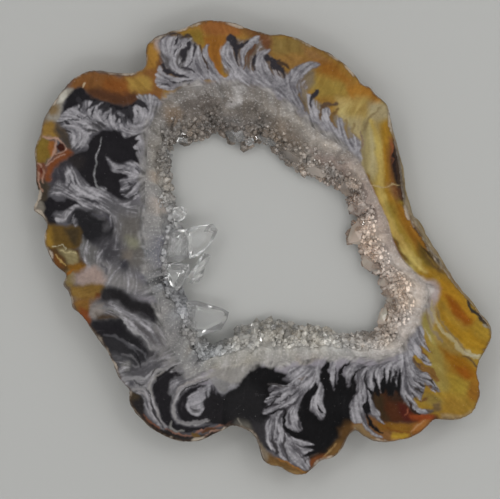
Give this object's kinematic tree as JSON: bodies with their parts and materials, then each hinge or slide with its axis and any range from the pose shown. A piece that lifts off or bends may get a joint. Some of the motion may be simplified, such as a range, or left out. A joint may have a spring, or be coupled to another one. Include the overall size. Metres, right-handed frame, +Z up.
{
  "type": "plume agate geode slice",
  "caption": "Polished slice of a plume agate geode, a flat stone ring with a rough lobed rind and quartz crystals round its open middle.",
  "frame": {"origin": "middle of the slice's outline, on the plane that the lower face rests on", "axes": "+Z up through the thickness out of the polished face, +X to the right and +Y to the far side as the slice is seen from above"},
  "size_m": [0.0779, 0.0773, 0.007],
  "materials": {
    "chalcedony": "polished faces with amber, black and white plumes, rough brown rind",
    "quartz": "clear to grey-brown sparkling crystals"
  },
  "bodies": {
    "root": {"agate_slice": "chalcedony", "quartz_crust": "quartz"}
  },
  "joints": []
}
